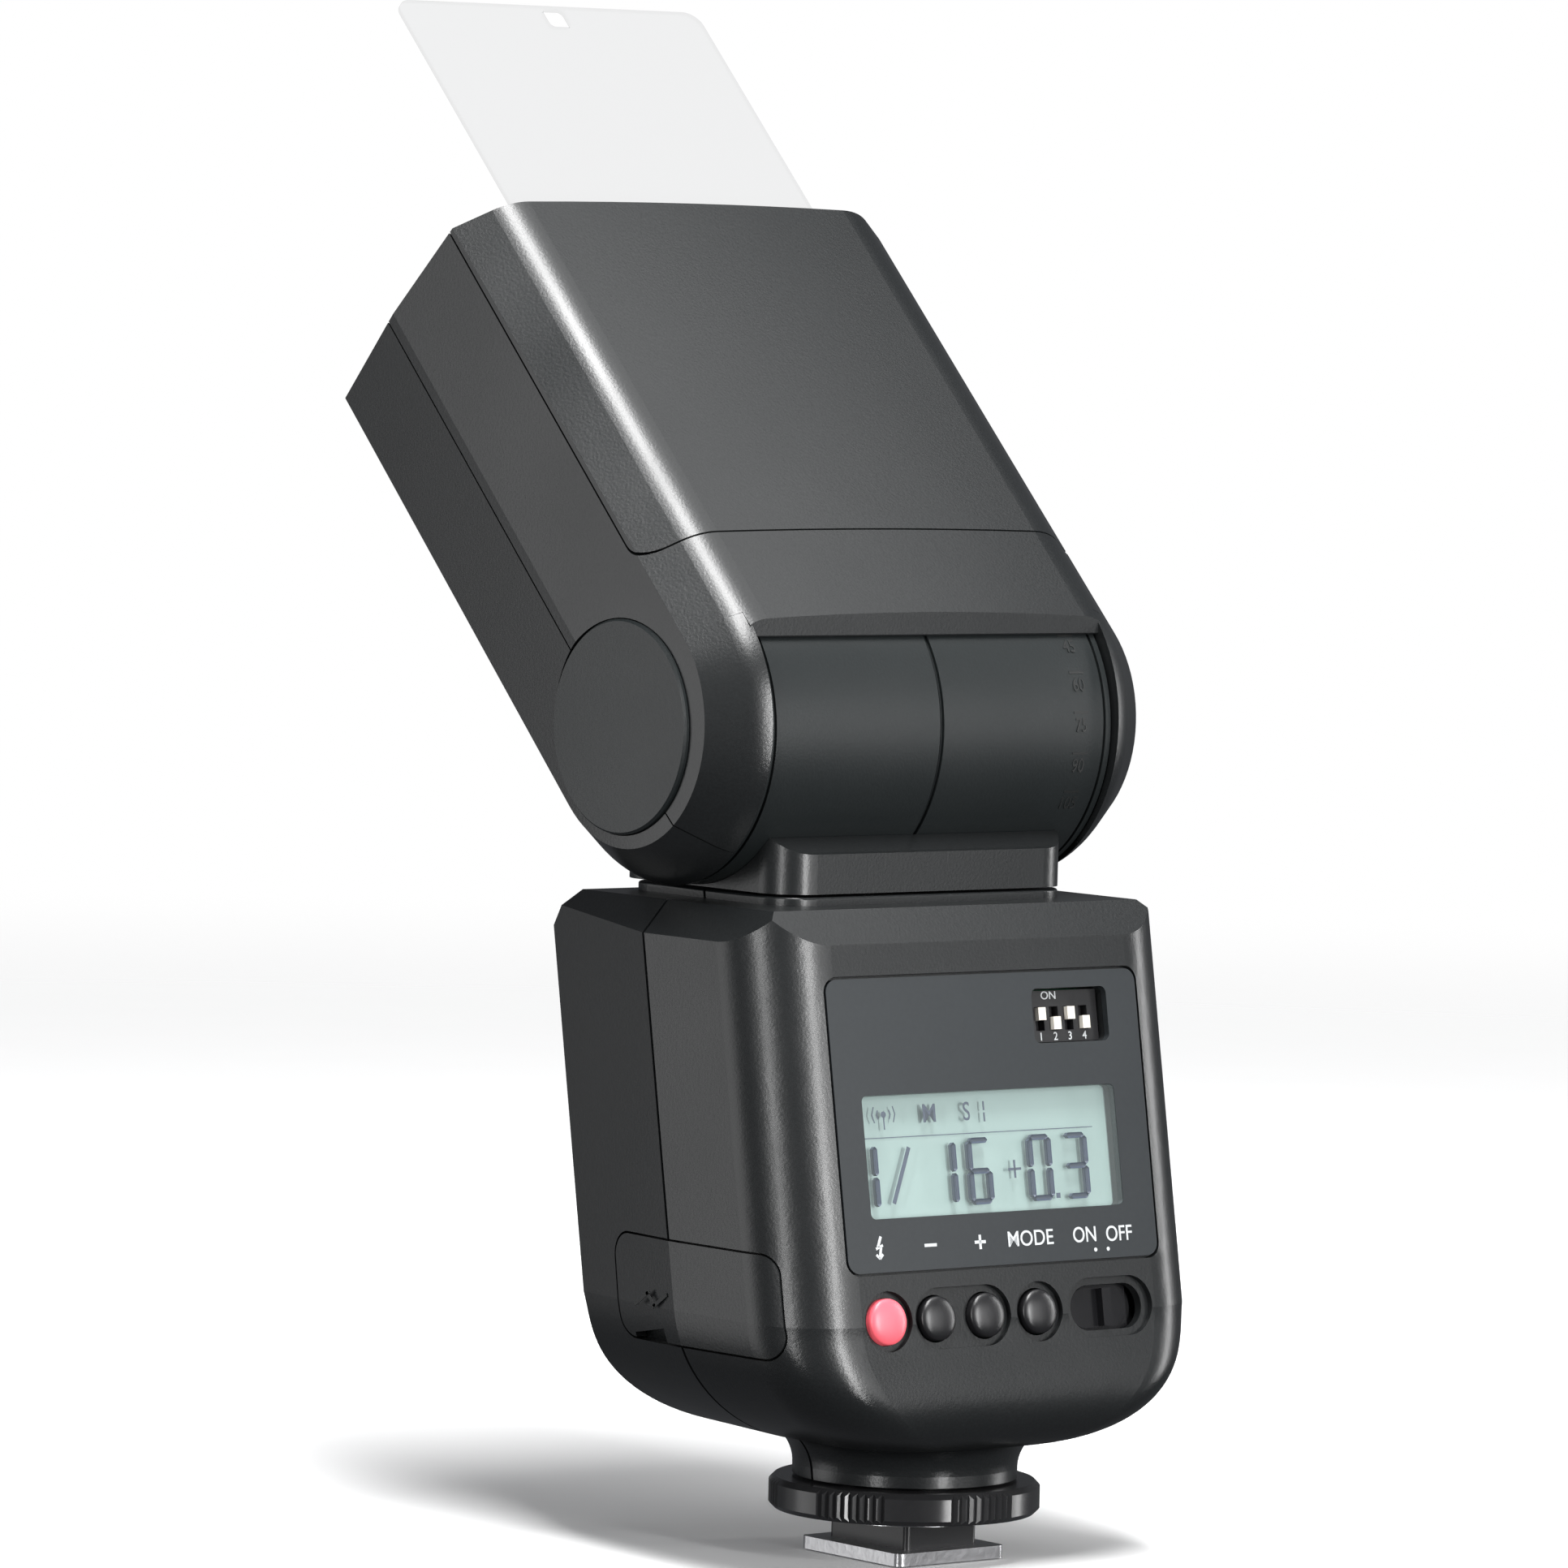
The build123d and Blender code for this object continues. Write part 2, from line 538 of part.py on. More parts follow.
# ---------------------------------------------------------------- swivel base and hinge barrel
with BuildPart() as swivel_ring:
    with Locations((0, HINGE_Y, ROOF_Z + 0.05)):
        Cylinder(15.2, 1.1, align=(Align.CENTER, Align.CENTER, Align.MIN))
        Cylinder(12.6, 6, mode=Mode.SUBTRACT)
finish(swivel_ring, "swivel_ring")

with BuildPart() as turntable:
    with BuildSketch(Plane.XY.offset(TABLE_Z)):
        with Locations((0, (TABLE_REAR + TABLE_FRONT) / 2)):
            RectangleRounded(2 * TABLE_HALF, TABLE_FRONT - TABLE_REAR, 5.5)
    extrude(amount=12)
    with BuildSketch(Plane.YZ.offset(-40)):
        Polygon(
            (TABLE_REAR - 1, 80), (TABLE_FRONT + 1, 80), (TABLE_FRONT + 1, TABLE_TOP - 0.5),
            (TABLE_FRONT - 0.6, TABLE_TOP), (TABLE_FRONT - 3.2, 96.6), (1.8, 96.6),
            (TABLE_REAR + 0.7, TABLE_TOP), (TABLE_REAR - 1, TABLE_TOP - 0.5), align=None,
        )
    extrude(amount=80, mode=Mode.INTERSECT)
    with Locations((0, HINGE_Y, 79.0)):
        Cylinder(12.0, 12, align=(Align.CENTER, Align.CENTER, Align.MIN))
        Cylinder(9.5, 60, mode=Mode.SUBTRACT)
    cross_rod(0, 0, BARREL_R + 0.05, -40, 40, Mode.SUBTRACT)
finish(turntable, "turntable")

for name, side in (("barrel_left", -1), ("barrel_right", 1)):
    with BuildPart() as barrel:
        cross_rod(0, 0, BARREL_R, min(0.12 * side, BARREL_HALF * side), max(0.12 * side, BARREL_HALF * side))
        cross_rod(0, 0, BARREL_R - 2.2, min(0, 27.2 * side), max(0, 27.2 * side), Mode.SUBTRACT)
        cross_rod(0, 0, BOSS_R, min(27 * side, 34.1 * side), max(27 * side, 34.1 * side))
        cross_rod(0, 0, 6.0, -40, 40, Mode.SUBTRACT)
        with BuildSketch(Plane(hinge_at, x_dir=(1, 0, 0), z_dir=(0, 1, 0))):
            with Locations((28.5 * side, BARREL_R), (0.1 * side, BARREL_R)):
                Rectangle(0.5, 0.9)
        revolve(axis=Axis(hinge_at, (1, 0, 0)), mode=Mode.SUBTRACT)
    finish(barrel, name)

with BuildPart() as swivel_clip:
    with Locations((0, HINGE_Y, 83.3)):
        Cylinder(13.6, 1.2)
        Cylinder(12.03, 3, mode=Mode.SUBTRACT)
finish(swivel_clip, "swivel_clip")

with BuildPart() as hinge_plates:
    cross_rod(0, 0, 11.0, 34.2, 35.4)
    cross_rod(0, 0, 11.0, -35.4, -34.2)
    cross_rod(0, 0, 5.0, -40, 40, Mode.SUBTRACT)
finish(hinge_plates, "hinge_plates")


# ---------------------------------------------------------------- head
def head_section(inset):
    """End view of the head, drawn in by `inset`."""
    half = [(30.4, HEAD_UNDER), (37.4, -15.9), (38.3, HEAD_MID), (37.4, 17.6), (30.4, HEAD_EDGE)]
    with BuildSketch(head_end) as section:
        with BuildLine():
            Polyline(*reversed(half), *[(-x, over) for x, over in half])
            ThreePointArc(half[-1], (0, HEAD_TOP), (-half[-1][0], half[-1][1]))
        make_face()
        corners = section.vertices()
        fillet(corners.filter_by(lambda v: abs(v.X) < 31), 9)
        fillet(corners.filter_by(lambda v: 37 < abs(v.X) < 38), 3)
        if inset:
            offset(amount=-inset)
    return section.sketch_local


def head_bar(inset, start, end):
    """The head's section, drawn in by `inset`, between two distances along it."""
    with BuildPart() as bar:
        with BuildSketch(head_end.offset(start)):
            add(head_section(inset))
        extrude(amount=end - start, dir=ALONG)
    return bar.part


with BuildPart() as head_lip:
    with BuildSketch(head_side.offset(-40)):
        Polygon((2, 19), (-3.3, 19), (-3.3, 21.5), (-0.3, 24.5), (2, 24.5), align=None)
    extrude(amount=80)
    head_box((-30.4, 30.4), (-50, 50), (-50, 50), Mode.INTERSECT)
    add(head_bar(0, -4, 3), mode=Mode.INTERSECT)

with BuildPart() as head_form:
    add(head_bar(0, 0, HEAD_FRONT))
    with BuildSketch(head_end):
        add(head_section(0))
        with Locations((0, HEAD_MID - 25)):
            Rectangle(90, 50, mode=Mode.INTERSECT)
    revolve(axis=Axis(hinge_at + OVER * HEAD_MID, (-1, 0, 0)), revolution_arc=180)
    head_box((-29.95, 29.95), (-60, -0.5), (-60, 60), Mode.SUBTRACT)
    add(head_lip.part)
    cross_rod(0, 0, RIM_CLEAR, -29.95, 29.95, Mode.SUBTRACT)
    head_box((-29.95, 29.95), (-30, 18.0), (-30, -13.2), Mode.SUBTRACT)

with BuildPart() as head_hollow:
    add(head_bar(2.0, 16, HEAD_FRONT + 1))
    cross_rod(0, 0, 23.6, -40, 40, Mode.SUBTRACT)
    head_box((-40, 40), (0, 20.2), (-30, -13), Mode.SUBTRACT)

with BuildPart() as head_case:
    add(head_form.part)
    add(head_hollow.part, mode=Mode.SUBTRACT)
    cross_rod(0, 0, BOSS_R + 0.07, -50, 50, Mode.SUBTRACT)
    cross_rod(0, 0, CAP_R + 0.15, 33.9, 50, Mode.SUBTRACT)
    cross_rod(0, 0, CAP_R + 0.15, -50, -33.9, Mode.SUBTRACT)

with BuildPart() as head_deck:
    add(head_bar(1.0, 15, HEAD_FRONT))
    head_box((-50, 50), (0, 100), (DECK_N, DECK_N + DECK_T), Mode.INTERSECT)
    cross_rod(0, 0, 22.5, -40, 40, Mode.SUBTRACT)

screw_grid = [(x, along) for x in (-27, 27) for along in (32, 64)]
with BuildPart() as head_lower_shell:
    add(head_case.part)
    head_box((-50, 50), (-50, 100), (HEAD_SEAM - 0.12, 60), Mode.SUBTRACT)
    with Locations(head_top):
        with Locations([(x, along, -17.9) for x, along in screw_grid]):
            Cylinder(3.0, 4.0)
        with Locations([(x, along, -17) for x, along in screw_grid]):
            Cylinder(1.1, 20, mode=Mode.SUBTRACT)
        with Locations([(x, along, -22) for x, along in screw_grid]):
            Cylinder(2.3, 5.0, mode=Mode.SUBTRACT)
finish(head_lower_shell, "head_lower_shell")


def cover_room(shift):
    """The space that the top cover fills, with a round inner corner."""
    with BuildPart() as room:
        with BuildSketch(head_side.offset(-50)) as outline:
            with Locations((COVER_A + shift + 50, COVER_N + shift + 25)):
                Rectangle(100, 50)
            fillet(outline.vertices().sort_by(lambda v: v.X + v.Y)[0], 3.2)
        extrude(amount=100)
    return room.part


with BuildPart() as head_upper_shell:
    add(head_case.part)
    add(head_deck.part)
    head_box((-50, 50), (-50, 100), (-60, HEAD_SEAM + 0.12), Mode.SUBTRACT)
    add(cover_room(0), mode=Mode.SUBTRACT)
finish(head_upper_shell, "head_upper_shell")

with BuildPart() as cover_front:
    add(head_bar(0, HEAD_FRONT - 2, HEAD_FRONT))
    head_box((-28.3, 28.3), (0, 100), (0, 20.4), Mode.SUBTRACT)

with BuildPart() as head_top_cover:
    add(head_case.part)
    add(cover_front.part)
    add(cover_room(0.28), mode=Mode.INTERSECT)
finish(head_top_cover, "head_top_cover")

for name, side in (("hinge_cap_left", -1), ("hinge_cap_right", 1)):
    low, mid, high = sorted((33.95 * side, 36.1 * side, 38.25 * side))
    with BuildPart() as hinge_cap:
        cross_rod(0, 0, CAP_R, low, high)
        cross_rod(0, 0, 12.4, min(33 * side, mid), max(33 * side, mid), Mode.SUBTRACT)
        chamfer(hinge_cap.edges().filter_by(GeomType.CIRCLE).sort_by(Axis.X)[-1 if side > 0 else 0], 0.3)
    finish(hinge_cap, name)

with BuildPart() as head_screws:
    with Locations(head_top):
        with Locations([(x, along, -20.1) for x, along in screw_grid]):
            Cylinder(2.1, 1.1)
        with Locations([(x, along, -17.8) for x, along in screw_grid]):
            Cylinder(1.0, 3.6)
finish(head_screws, "head_screws")

with BuildPart() as front_lens:
    add(head_bar(2.3, 71.9, 73.9))
    head_box((-50, 50), (0, 100), (-50, DECK_N - 0.3), Mode.INTERSECT)
finish(front_lens, "front_lens")

with BuildPart() as reflector:
    for along, width, height in ((71.4, 66, 28), (44.0, 46, 12)):
        with BuildSketch(head_end.offset(along)):
            with Locations((0, -2.3)):
                RectangleRounded(width, height, 3)
    loft()
    for along, width, height in ((71.4, 64, 26), (45.2, 44, 10)):
        with BuildSketch(head_end.offset(along)):
            with Locations((0, -2.3)):
                RectangleRounded(width, height, 2)
    loft(mode=Mode.SUBTRACT)
finish(reflector, "reflector")

with BuildPart() as flash_tube:
    cross_rod(48.5, -2.3, 2.0, -20, 20)
finish(flash_tube, "flash_tube")

with BuildPart() as trigger_board:
    head_box((-25, 25), (34, 35.6), (-15, 9))
    head_box((-8, 8), (35.5, 42), (-9, 3))
finish(trigger_board, "trigger_board")

with BuildPart() as bounce_card:
    with BuildSketch(head_top.offset(CARD_N)):
        with Locations((0, CARD_TIP - CARD_L / 2)):
            RectangleRounded(CARD_W, CARD_L, 2.6)
        with Locations((0.5, CARD_TIP - 2.4)):
            RectangleRounded(3.7, 3.4, 0.8, mode=Mode.SUBTRACT)
    extrude(amount=CARD_T / 2, both=True)
finish(bounce_card, "bounce_card")

with BuildPart() as wide_panel:
    with BuildSketch(head_top.offset(WIDE_N)):
        with Locations((0, HEAD_FRONT - 0.4 - WIDE_L / 2)):
            RectangleRounded(WIDE_W, WIDE_L, 1.5)
    extrude(amount=WIDE_T / 2, both=True)
finish(wide_panel, "wide_panel")
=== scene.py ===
"""The looks of a shoe-mount flash: plastics, display, lettering, lens and light, around the CAD frame.

Metres. +X is the user's right, +Y the way the camera looks, +Z up; the body leans forward over its foot.
"""

from math import cos, pi, radians, sin

import bpy
from mathutils import Matrix, Vector


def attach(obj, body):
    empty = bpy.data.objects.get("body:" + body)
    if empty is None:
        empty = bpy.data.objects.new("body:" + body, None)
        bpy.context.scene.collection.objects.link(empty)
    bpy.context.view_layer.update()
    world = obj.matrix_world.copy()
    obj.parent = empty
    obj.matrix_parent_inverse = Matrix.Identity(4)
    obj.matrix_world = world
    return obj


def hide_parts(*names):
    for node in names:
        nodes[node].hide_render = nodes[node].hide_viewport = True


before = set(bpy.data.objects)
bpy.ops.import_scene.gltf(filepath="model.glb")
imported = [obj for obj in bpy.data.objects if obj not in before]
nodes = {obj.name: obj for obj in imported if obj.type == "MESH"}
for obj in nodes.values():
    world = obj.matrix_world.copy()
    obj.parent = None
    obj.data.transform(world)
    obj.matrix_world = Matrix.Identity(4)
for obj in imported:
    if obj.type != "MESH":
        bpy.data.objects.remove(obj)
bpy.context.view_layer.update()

MM = 0.001
LEAN = radians(10)
PANEL_AT = Vector((0, -16.5, 59.9)) * MM
HINGE_AT = Vector((0, 17.4, 110.4)) * MM
HALF_BODY, BARREL_R = 36, 21.1

# Places on the panel, in millimetres from its centre: X across, V up, and a depth that is negative below its face.
SCREEN_X, SCREEN_V = -0.4, -4.2
BUTTON_V, BUTTON_R = -25.75, 2.95
TEST_X, MINUS_X, PLUS_X, MODE_X = -20.8, -12.3, -3.9, 5.1
DIP_X, DIP_V, DIP_PITCH = 14.9, 13.4, 2.54
LABEL_V, LABEL_TALL, LABEL_STROKE = -16.0, 2.9, 0.42
PRINT_DEPTH, DIP_PRINT_DEPTH = -0.08, -1.98
# The figures' depth, and the depth of their painted shadow on the display's reflector.
FIGURE_DEPTH, PAINTED_SHADOW_DEPTH = -1.25, -2.30

# The tilt scale, in millimetres along the barrel from its middle, and the angle of its zero above the rear.
SCALE_X, SCALE_ZERO, SCALE_PRINT = 24.4, 78.7, 0.06


# ---------------------------------------------------------------- places
def face_frame(origin, across, up):
    """A frame whose X runs across a face, Y up it and Z out of it."""
    out = across.cross(up)
    turn = Matrix((across, up, out)).transposed().to_4x4()
    return Matrix.Translation(origin) @ turn


PANEL = face_frame(PANEL_AT, Vector((1, 0, 0)), Vector((0, sin(LEAN), cos(LEAN))))
FLANK = face_frame(
    PANEL_AT + Vector((-HALF_BODY * MM, 0, 0)),
    Vector((0, -cos(LEAN), sin(LEAN))),
    Vector((0, sin(LEAN), cos(LEAN))),
)


def barrel_frame(angle):
    """The barrel's surface at an angle above the rearward direction."""
    out = Vector((0, -cos(angle), sin(angle)))
    up = Vector((0, sin(angle), cos(angle)))
    return face_frame(HINGE_AT + out * BARREL_R * MM, Vector((1, 0, 0)), up)


def deselect():
    bpy.ops.object.select_all(action="DESELECT")


def settle(piece, place):
    """Puts a piece modelled at the origin, in millimetres, in its place and writes that into its mesh."""
    deselect()
    piece.select_set(True)
    bpy.context.view_layer.objects.active = piece
    piece.matrix_world = place @ Matrix.Scale(MM, 4)
    bpy.ops.object.transform_apply(location=True, rotation=True, scale=True)
    return piece


def named(piece, name, material, body):
    """Names a finished piece, gives it its finish and the body it rides on."""
    piece.name = name
    piece.data.name = name
    piece.data.materials.clear()
    piece.data.materials.append(material)
    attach(piece, body)
    return piece


def join(pieces):
    deselect()
    for piece in pieces:
        piece.select_set(True)
    bpy.context.view_layer.objects.active = pieces[0]
    if len(pieces) > 1:
        bpy.ops.object.join()
    return bpy.context.view_layer.objects.active


# ---------------------------------------------------------------- finishes
def new_finish(name):
    """A new material, its nodes, its links and its shader."""
    finish = bpy.data.materials.new(name)
    finish.use_nodes = True
    tree = finish.node_tree
    return finish, tree.nodes, tree.links, tree.nodes["Principled BSDF"]


def grained(name, color, rough, grain=2600.0, depth=0.02, swing=0.06, tint=0.15, metal=0.0, spec=0.5):
    """A moulded or machined surface: fine grain in its height, patchy sheen and a faint colour drift."""
    finish, tree, links, shader = new_finish(name)
    place = tree.new("ShaderNodeTexCoord")
    fine = tree.new("ShaderNodeTexNoise")
    fine.inputs["Scale"].default_value = grain
    fine.inputs["Detail"].default_value = 3.0
    broad = tree.new("ShaderNodeTexNoise")
    broad.inputs["Scale"].default_value = 45.0
    broad.inputs["Detail"].default_value = 4.0
    links.new(place.outputs["Object"], fine.inputs["Vector"])
    links.new(place.outputs["Object"], broad.inputs["Vector"])
    bump = tree.new("ShaderNodeBump")
    bump.inputs["Strength"].default_value = 1.0
    bump.inputs["Distance"].default_value = depth * MM
    links.new(fine.outputs["Fac"], bump.inputs["Height"])
    links.new(bump.outputs["Normal"], shader.inputs["Normal"])
    sheen = tree.new("ShaderNodeMapRange")
    sheen.inputs["To Min"].default_value = rough - swing
    sheen.inputs["To Max"].default_value = rough + swing
    links.new(broad.outputs["Fac"], sheen.inputs["Value"])
    links.new(sheen.outputs["Result"], shader.inputs["Roughness"])
    drift = tree.new("ShaderNodeMixRGB")
    drift.inputs["Color1"].default_value = (*[c * (1 - tint) for c in color], 1)
    drift.inputs["Color2"].default_value = (*[c * (1 + tint) for c in color], 1)
    links.new(fine.outputs["Fac"], drift.inputs["Fac"])
    links.new(drift.outputs["Color"], shader.inputs["Base Color"])
    shader.inputs["Metallic"].default_value = metal
    shader.inputs["Specular IOR Level"].default_value = spec
    return finish


def clear_sheet(name, color, alpha, rough, lines=0.0):
    """Clear plastic, seen through; moulded ribs when `lines` is given."""
    finish, tree, links, shader = new_finish(name)
    place = tree.new("ShaderNodeTexCoord")
    ripple = tree.new("ShaderNodeTexNoise")
    ripple.inputs["Scale"].default_value = 60.0
    links.new(place.outputs["Object"], ripple.inputs["Vector"])
    bump = tree.new("ShaderNodeBump")
    bump.inputs["Distance"].default_value = 0.02 * MM
    height = ripple.outputs["Fac"]
    if lines:
        ribs = tree.new("ShaderNodeTexWave")
        ribs.bands_direction = "X"
        ribs.inputs["Scale"].default_value = lines
        links.new(place.outputs["Object"], ribs.inputs["Vector"])
        height = ribs.outputs["Fac"]
        bump.inputs["Distance"].default_value = 0.3 * MM
    links.new(height, bump.inputs["Height"])
    links.new(bump.outputs["Normal"], shader.inputs["Normal"])
    spread = tree.new("ShaderNodeMapRange")
    spread.inputs["To Min"].default_value = rough
    spread.inputs["To Max"].default_value = rough + 0.05
    links.new(ripple.outputs["Fac"], spread.inputs["Value"])
    links.new(spread.outputs["Result"], shader.inputs["Roughness"])
    shader.inputs["Base Color"].default_value = (*color, 1)
    shader.inputs["Alpha"].default_value = alpha
    return finish


shell_plastic = grained("spark_textured_shell", (0.0100, 0.0111, 0.0116), 0.31, depth=0.020, tint=0.35)
barrel_plastic = grained("hinge_barrel_plastic", (0.0100, 0.0125, 0.0130), 0.38, depth=0.02, tint=0.3)
gloss_black = grained("polished_black", (0.008, 0.008, 0.009), 0.20, grain=900.0, depth=0.004, swing=0.05)
ring_black = grained("lock_ring_black", (0.020, 0.020, 0.021), 0.24, grain=900.0, depth=0.005, swing=0.05)
stem_black = grained("moulded_black", (0.012, 0.012, 0.013), 0.35, depth=0.01)
panel_film = grained("panel_film", (0.0205, 0.0240, 0.0265), 0.30, grain=1500.0, depth=0.004, swing=0.04)
print_white = grained("printed_white", (0.50, 0.52, 0.53), 0.45, grain=2000.0, depth=0.004, tint=0.03)
scale_dark = grained("sunk_scale_marks", (0.006, 0.007, 0.007), 0.55, depth=0.01)
rubber_black = grained("button_rubber", (0.010, 0.010, 0.011), 0.34, grain=2200.0, depth=0.006)
rubber_red = grained("test_button_red", (0.80, 0.115, 0.150), 0.36, grain=2200.0, depth=0.005, tint=0.05)
slider_white = grained("slider_ivory", (0.78, 0.74, 0.66), 0.40, depth=0.01, tint=0.06)
screen_back = grained("display_reflector", (0.26, 0.355, 0.335), 0.45, grain=1800.0, depth=0.003, tint=0.03)
screen_ink = grained("display_segments", (0.030, 0.045, 0.085), 0.40, grain=900.0, depth=0.002)
# Painted shadow: a faint see-through tint for the copy of the display's figures laid on its reflector.
figure_painted_shadow = clear_sheet("display_segment_painted_shadow", (0.10, 0.20, 0.24), 0.09, 0.6)
foot_steel = grained("sheared_foot_steel", (0.46, 0.46, 0.47), 0.34, grain=900.0, depth=0.06, swing=0.12, metal=1.0)
screw_steel = grained("screw_steel", (0.45, 0.45, 0.46), 0.30, grain=1500.0, depth=0.02, metal=1.0)
contact_brass = grained("contact_brass", (0.70, 0.52, 0.25), 0.28, grain=1500.0, depth=0.01, metal=1.0)
mirror = grained("reflector_mirror", (0.85, 0.85, 0.86), 0.12, grain=400.0, depth=0.01, metal=1.0)
board_green = grained("circuit_board", (0.02, 0.11, 0.05), 0.35, grain=800.0, depth=0.02, tint=0.3)
cell_wrap = grained("cell_wrap", (0.35, 0.36, 0.38), 0.30, grain=600.0, depth=0.004, metal=0.6)
smoke_red = grained("sensor_window_red", (0.050, 0.004, 0.006), 0.08, grain=500.0, depth=0.003, swing=0.03)
window_clear = clear_sheet("display_window", (0.5, 0.55, 0.55), 0.07, 0.04)
card_clear = clear_sheet("bounce_card_film", (0.16, 0.165, 0.17), 0.14, 0.45)
wide_clear = clear_sheet("wide_panel_prism", (0.85, 0.87, 0.88), 0.45, 0.1, lines=260.0)
lens_clear = clear_sheet("front_lens_prism", (0.80, 0.82, 0.83), 0.55, 0.12, lines=320.0)
tube_glass = clear_sheet("flash_tube_glass", (0.85, 0.85, 0.82), 0.5, 0.05)


def lit_from_within(finish, color, strength):
    """Painted glow: a little light of its own, brightening a part that is no lamp."""
    shader = finish.node_tree.nodes["Principled BSDF"]
    shader.inputs["Emission Color"].default_value = (*color, 1)
    shader.inputs["Emission Strength"].default_value = strength


# Painted glow on the display's reflector, the red test button and the white print, which brightens them.
lit_from_within(screen_back, (0.40, 0.57, 0.54), 0.12)
lit_from_within(rubber_red, (1.0, 0.13, 0.16), 0.28)
lit_from_within(print_white, (0.9, 0.9, 0.92), 0.03)

NODE_FINISH = {
    "shoe_plate": foot_steel, "contact_insulator": stem_black, "contact_pin": contact_brass,
    "foot_stem": stem_black, "foot_screws": screw_steel, "clamp_washer": screw_steel, "lock_ring": ring_black,
    "body_rear_shell": shell_plastic, "body_front_shell": shell_plastic, "body_screws": screw_steel,
    "port_cover": shell_plastic, "battery_door": shell_plastic, "control_panel": panel_film,
    "lcd_window": window_clear, "lcd_module": screen_back, "dip_switch": stem_black,
    "dip_slider_1": slider_white, "dip_slider_2": slider_white, "dip_slider_3": slider_white,
    "dip_slider_4": slider_white, "power_switch": gloss_black, "switch_base": stem_black,
    "button_board": board_green, "main_board": board_green, "sensor_window": smoke_red,
    "sync_jack": gloss_black, "power_jack": gloss_black, "battery_tray": stem_black, "battery_cells": cell_wrap,
    "battery_contacts": contact_brass, "main_capacitor": gloss_black, "swivel_ring": gloss_black,
    "turntable": shell_plastic, "barrel_left": barrel_plastic, "barrel_right": barrel_plastic,
    "swivel_clip": screw_steel, "hinge_plates": screw_steel, "head_lower_shell": shell_plastic,
    "head_upper_shell": shell_plastic, "head_top_cover": shell_plastic, "hinge_cap_left": barrel_plastic,
    "hinge_cap_right": barrel_plastic, "head_screws": screw_steel, "front_lens": lens_clear,
    "reflector": mirror, "flash_tube": tube_glass, "trigger_board": board_green, "bounce_card": card_clear,
    "wide_panel": wide_clear,
}
for node, finish in NODE_FINISH.items():
    nodes[node].data.materials.clear()
    nodes[node].data.materials.append(finish)


# ---------------------------------------------------------------- buttons
STEM_TALL, STEM_MIDDLE = 2.6, -1.5
DOME_TALL, DOME_RINGS = 0.95, 10


def domed_button(name, x, radius, finish, body, node):
    """A rubber cap: a stem, a rolled shoulder and a dome, drawn up in shrinking rings."""
    deselect()
    bpy.ops.mesh.primitive_cylinder_add(
        vertices=64, radius=radius, depth=STEM_TALL, location=(x, BUTTON_V, STEM_MIDDLE)
    )
    cap = bpy.context.object
    bpy.ops.object.mode_set(mode="EDIT")
    bpy.ops.mesh.select_mode(type="FACE")
    bpy.ops.mesh.select_all(action="DESELECT")
    bpy.ops.object.mode_set(mode="OBJECT")
    for face in cap.data.polygons:
        face.select = face.normal.z > 0.9
    bpy.ops.object.mode_set(mode="EDIT")
    for step in range(1, DOME_RINGS):
        low, high = pi / 2 * (step - 1) / DOME_RINGS, pi / 2 * step / DOME_RINGS
        was, now = cos(low), cos(high)
        lift = DOME_TALL * (sin(high) - sin(low))
        bpy.ops.mesh.extrude_region_move(TRANSFORM_OT_translate={"value": (0, 0, lift)})
        bpy.ops.transform.resize(value=(now / was, now / was, 1), center_override=(x, BUTTON_V, 0))
    bpy.ops.object.mode_set(mode="OBJECT")
    bpy.ops.object.transform_apply(location=True)
    bpy.ops.object.shade_smooth_by_angle(angle=radians(40))
    settle(cap, PANEL)
    named(cap, name, finish, body)
    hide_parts(node)


domed_button("test_cap", TEST_X, BUTTON_R + 0.1, rubber_red, "test", "test_button")
domed_button("minus_cap", MINUS_X, BUTTON_R, rubber_black, "minus", "minus_button")
domed_button("plus_cap", PLUS_X, BUTTON_R, rubber_black, "plus", "plus_button")
domed_button("mode_cap", MODE_X, BUTTON_R, rubber_black, "mode", "mode_button")


# ---------------------------------------------------------------- lettering
def letters(words, size, x, y, z, narrow=1.0, thick=0.02):
    """Flat lettering centred at a place, as a mesh in millimetres."""
    deselect()
    bpy.ops.object.text_add(location=(0, 0, 0))
    text = bpy.context.object
    text.data.body = words
    text.data.size = size
    text.data.align_x = "CENTER"
    text.data.align_y = "CENTER"
    text.data.extrude = thick
    text.data.offset = 0.006 * size
    bpy.ops.object.convert(target="MESH")
    text = bpy.context.object
    text.scale = (narrow, 1, 1)
    text.location = (x, y, z)
    bpy.ops.object.transform_apply(location=True, rotation=True, scale=True)
    return text


def bar(x, y, z, length, width, thick=0.04, turn=0.0, mitre=0.0):
    """A flat bar, centred, turned in the face's plane, its ends mitred when asked."""
    deselect()
    bpy.ops.mesh.primitive_cube_add(size=1, location=(0, 0, 0))
    piece = bpy.context.object
    piece.scale = (length, width, thick)
    bpy.ops.object.transform_apply(scale=True)
    if mitre:
        for edge in piece.data.edges:
            a, b = (piece.data.vertices[i].co for i in edge.vertices)
            edge.select = abs(a.z - b.z) > thick / 2
        bpy.ops.object.mode_set(mode="EDIT")
        bpy.ops.mesh.select_mode(type="EDGE")
        bpy.ops.mesh.bevel(offset=mitre, segments=1)
        bpy.ops.object.mode_set(mode="OBJECT")
    piece.rotation_euler = (0, 0, turn)
    piece.location = (x, y, z)
    bpy.ops.object.transform_apply(location=True, rotation=True, scale=True)
    return piece


def dot(x, y, z, radius, thick=0.04):
    deselect()
    bpy.ops.mesh.primitive_cylinder_add(vertices=24, radius=radius, depth=thick, location=(x, y, z))
    bpy.ops.object.transform_apply(location=True)
    return bpy.context.object


